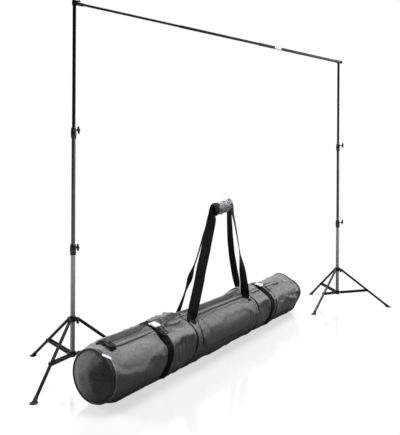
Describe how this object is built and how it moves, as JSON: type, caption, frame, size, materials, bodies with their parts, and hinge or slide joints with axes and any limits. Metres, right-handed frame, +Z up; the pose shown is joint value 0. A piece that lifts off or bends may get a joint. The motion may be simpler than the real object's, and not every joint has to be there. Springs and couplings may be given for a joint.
{
  "type": "background support system",
  "caption": "Telescopic tripod stands carrying a telescopic crossbar for hanging a photographic backdrop, with a long padded carry bag lying in front.",
  "frame": {"origin": "middle of the whole system's footprint, on the floor", "axes": "+X along the crossbar from the left stand to the right one, +Y to the back, +Z up"},
  "size_m": [3.0284, 0.9924, 2.047],
  "materials": {
    "stand_tube": "black anodised, satin",
    "bar_tube": "black anodised, satin",
    "leg_tube": "black anodised, satin",
    "bar_lock": "moulded nylon",
    "brace": "black painted steel strip",
    "casting": "glass-filled nylon",
    "foot": "matt rubber",
    "rivet": "plated steel",
    "clamp": "glass-filled nylon, semi-gloss",
    "end_fitting": "glass-filled nylon, semi-gloss",
    "knob": "moulded nylon, semi-gloss",
    "end_screw": "moulded nylon head on a steel stud",
    "bag_cloth": "padded nylon",
    "piping": "corded edge binding",
    "webbing": "woven nylon webbing",
    "buckle": "moulded acetal",
    "grip": "padded wrap",
    "zip": "black lacquered"
  },
  "bodies": {
    "left_base": {"left_lower_tube": "stand_tube", "left_lower_clamp": "clamp", "left_base_collar": "casting", "left_base_pins": "rivet"},
    "left_hub": {"left_leg_hub": "casting", "left_hub_pins": "rivet"},
    "left_leg_1": {"left_leg_1": "leg_tube", "left_foot_1": "foot"},
    "left_brace_1": {"left_brace_1": "brace"},
    "left_leg_2": {"left_leg_2": "leg_tube", "left_foot_2": "foot"},
    "left_brace_2": {"left_brace_2": "brace"},
    "left_leg_3": {"left_leg_3": "leg_tube", "left_foot_3": "foot"},
    "left_brace_3": {"left_brace_3": "brace"},
    "left_riser": {"left_middle_tube": "stand_tube", "left_upper_clamp": "clamp"},
    "left_top": {"left_upper_tube": "stand_tube", "left_end_fitting": "end_fitting", "bar_small_tube": "bar_tube", "bar_small_lock": "bar_lock"},
    "left_lower_knob": {"left_lower_clamp_knob": "knob"},
    "left_upper_knob": {"left_upper_clamp_knob": "knob"},
    "left_hub_knob": {"left_hub_knob": "knob"},
    "right_base": {"right_lower_tube": "stand_tube", "right_lower_clamp": "clamp", "right_base_collar": "casting", "right_base_pins": "rivet"},
    "right_hub": {"right_leg_hub": "casting", "right_hub_pins": "rivet"},
    "right_leg_1": {"right_leg_1": "leg_tube", "right_foot_1": "foot"},
    "right_brace_1": {"right_brace_1": "brace"},
    "right_leg_2": {"right_leg_2": "leg_tube", "right_foot_2": "foot"},
    "right_brace_2": {"right_brace_2": "brace"},
    "right_leg_3": {"right_leg_3": "leg_tube", "right_foot_3": "foot"},
    "right_brace_3": {"right_brace_3": "brace"},
    "right_riser": {"right_middle_tube": "stand_tube", "right_upper_clamp": "clamp"},
    "right_top": {"right_upper_tube": "stand_tube", "right_end_fitting": "end_fitting"},
    "right_lower_knob": {"right_lower_clamp_knob": "knob"},
    "right_upper_knob": {"right_upper_clamp_knob": "knob"},
    "right_hub_knob": {"right_hub_knob": "knob"},
    "left_end_screw": {"left_end_screw": "end_screw"},
    "right_end_screw": {"right_end_screw": "end_screw"},
    "bar_middle": {"bar_middle_tube": "bar_tube", "bar_middle_lock": "bar_lock"},
    "bar_outer": {"bar_large_tube": "bar_tube"},
    "bag": {"bag_body": "bag_cloth", "bag_piping": "piping", "bag_straps": "webbing", "bag_buckles": "buckle", "bag_handle_front": "webbing", "bag_handle_back": "webbing", "bag_grip": "grip"},
    "bag_zip": {"bag_zip_slider": "zip"}
  },
  "joints": [
    {"name": "left_hub_slide", "type": "slide", "parent": "left_base", "child": "left_hub", "axis": [0, 0, 1], "range_m": [0, 0.2928]},
    {"name": "left_leg_1_fold", "type": "hinge", "parent": "left_hub", "child": "left_leg_1", "pos_m": [-1.14196, 0.06211, 0.292], "axis": [0.4035, 0.915, 0], "range_deg": [0, 48.91]},
    {"name": "left_brace_1_fold", "type": "hinge", "parent": "left_base", "child": "left_brace_1", "pos_m": [-1.14562, 0.06372, 0.104], "axis": [-0.4035, -0.915, 0], "range_deg": [0, 77.82]},
    {"name": "left_leg_2_fold", "type": "hinge", "parent": "left_hub", "child": "left_leg_2", "pos_m": [-1.1706, 0.10124, 0.292], "axis": [-0.9942, -0.108, 0], "range_deg": [0, 48.91]},
    {"name": "left_brace_2_fold", "type": "hinge", "parent": "left_base", "child": "left_brace_2", "pos_m": [-1.17017, 0.09727, 0.104], "axis": [0.9942, 0.108, 0], "range_deg": [0, 77.82]},
    {"name": "left_leg_3_fold", "type": "hinge", "parent": "left_hub", "child": "left_leg_3", "pos_m": [-1.19017, 0.05687, 0.292], "axis": [0.5906, -0.807, 0], "range_deg": [0, 48.91]},
    {"name": "left_brace_3_fold", "type": "hinge", "parent": "left_base", "child": "left_brace_3", "pos_m": [-1.18695, 0.05923, 0.104], "axis": [-0.5906, 0.807, 0], "range_deg": [0, 77.82]},
    {"name": "left_riser_slide", "type": "slide", "parent": "left_base", "child": "left_riser", "axis": [0, 0, -1], "range_m": [0, 0.52]},
    {"name": "left_top_slide", "type": "slide", "parent": "left_riser", "child": "left_top", "axis": [0, 0, -1], "range_m": [0, 0.62]},
    {"name": "left_lower_knob_turn", "type": "hinge", "parent": "left_base", "child": "left_lower_knob", "pos_m": [-1.18317, 0.05516, 0.682], "axis": [0.7604, -0.6494, 0], "range_deg": [0, 360]},
    {"name": "left_upper_knob_turn", "type": "hinge", "parent": "left_riser", "child": "left_upper_knob", "pos_m": [-1.18219, 0.0563, 1.311], "axis": [0.7604, -0.6494, 0], "range_deg": [0, 360]},
    {"name": "left_hub_knob_turn", "type": "hinge", "parent": "left_hub", "child": "left_hub_knob", "pos_m": [-1.16758, 0.0734, 0.292], "axis": [0.108, -0.9942, 0], "range_deg": [0, 360]},
    {"name": "right_stand_away", "type": "slide", "parent": "left_base", "child": "right_base", "axis": [1, 0, 0], "range_m": [0, 0.35]},
    {"name": "right_hub_slide", "type": "slide", "parent": "right_base", "child": "right_hub", "axis": [0, 0, 1], "range_m": [0, 0.2928]},
    {"name": "right_leg_1_fold", "type": "hinge", "parent": "right_hub", "child": "right_leg_1", "pos_m": [1.25427, 0.05183, 0.292], "axis": [0.7705, 0.6374, 0], "range_deg": [0, 48.91]},
    {"name": "right_brace_1_fold", "type": "hinge", "parent": "right_base", "child": "right_brace_1", "pos_m": [1.25172, 0.05491, 0.104], "axis": [-0.7705, -0.6374, 0], "range_deg": [0, 77.82]},
    {"name": "right_leg_2_fold", "type": "hinge", "parent": "right_hub", "child": "right_leg_2", "pos_m": [1.24618, 0.09965, 0.292], "axis": [-0.9373, 0.3486, 0], "range_deg": [0, 48.91]},
    {"name": "right_brace_2_fold", "type": "hinge", "parent": "right_base", "child": "right_brace_2", "pos_m": [1.24479, 0.0959, 0.104], "axis": [0.9373, -0.3486, 0], "range_deg": [0, 77.82]},
    {"name": "right_leg_3_fold", "type": "hinge", "parent": "right_hub", "child": "right_leg_3", "pos_m": [1.20881, 0.06874, 0.292], "axis": [0.1668, -0.986, 0], "range_deg": [0, 48.91]},
    {"name": "right_brace_3_fold", "type": "hinge", "parent": "right_base", "child": "right_brace_3", "pos_m": [1.21276, 0.0694, 0.104], "axis": [-0.1668, 0.986, 0], "range_deg": [0, 77.82]},
    {"name": "right_riser_slide", "type": "slide", "parent": "right_base", "child": "right_riser", "axis": [0, 0, -1], "range_m": [0, 0.52]},
    {"name": "right_top_slide", "type": "slide", "parent": "right_riser", "child": "right_top", "axis": [0, 0, -1], "range_m": [0, 0.62]},
    {"name": "right_lower_knob_turn", "type": "hinge", "parent": "right_base", "child": "right_lower_knob", "pos_m": [1.22083, 0.05516, 0.682], "axis": [0.7604, -0.6494, 0], "range_deg": [0, 360]},
    {"name": "right_upper_knob_turn", "type": "hinge", "parent": "right_riser", "child": "right_upper_knob", "pos_m": [1.22181, 0.0563, 1.311], "axis": [0.7604, -0.6494, 0], "range_deg": [0, 360]},
    {"name": "right_hub_knob_turn", "type": "hinge", "parent": "right_hub", "child": "right_hub_knob", "pos_m": [1.23642, 0.0734, 0.292], "axis": [-0.3486, -0.9373, 0], "range_deg": [0, 360]},
    {"name": "left_end_screw_turn", "type": "hinge", "parent": "left_top", "child": "left_end_screw", "pos_m": [-1.13858, 0.0734, 2], "axis": [0, 0, 1], "range_deg": [0, 360]},
    {"name": "right_end_screw_turn", "type": "hinge", "parent": "right_top", "child": "right_end_screw", "pos_m": [1.23642, 0.0734, 2.003], "axis": [1, 0, 0], "range_deg": [0, 360]},
    {"name": "bar_middle_slide", "type": "slide", "parent": "left_top", "child": "bar_middle", "axis": [-1, 0, 0], "range_m": [0, 0.67]},
    {"name": "bar_outer_slide", "type": "slide", "parent": "bar_middle", "child": "bar_outer", "axis": [-1, 0, 0], "range_m": [0, 0.7]},
    {"name": "bag_lift", "type": "slide", "parent": "left_base", "child": "bag", "axis": [0, 0, 1], "range_m": [0, 0.4]},
    {"name": "bag_zip_slide", "type": "slide", "parent": "bag", "child": "bag_zip", "axis": [0.9578, 0.2874, 0], "range_m": [0, 1.08]}
  ],
  "couplings": [
    {"joint": "left_leg_1_fold", "follows": "left_hub_slide", "rad_per_m": 2.9145},
    {"joint": "left_brace_1_fold", "follows": "left_hub_slide", "rad_per_m": 4.6373},
    {"joint": "left_leg_2_fold", "follows": "left_hub_slide", "rad_per_m": 2.9145},
    {"joint": "left_brace_2_fold", "follows": "left_hub_slide", "rad_per_m": 4.6373},
    {"joint": "left_leg_3_fold", "follows": "left_hub_slide", "rad_per_m": 2.9145},
    {"joint": "left_brace_3_fold", "follows": "left_hub_slide", "rad_per_m": 4.6373},
    {"joint": "right_leg_1_fold", "follows": "right_hub_slide", "rad_per_m": 2.9145},
    {"joint": "right_brace_1_fold", "follows": "right_hub_slide", "rad_per_m": 4.6373},
    {"joint": "right_leg_2_fold", "follows": "right_hub_slide", "rad_per_m": 2.9145},
    {"joint": "right_brace_2_fold", "follows": "right_hub_slide", "rad_per_m": 4.6373},
    {"joint": "right_leg_3_fold", "follows": "right_hub_slide", "rad_per_m": 2.9145},
    {"joint": "right_brace_3_fold", "follows": "right_hub_slide", "rad_per_m": 4.6373},
    {"joint": "right_riser_slide", "follows": "left_riser_slide", "ratio": 1},
    {"joint": "right_top_slide", "follows": "left_top_slide", "ratio": 1}
  ]
}
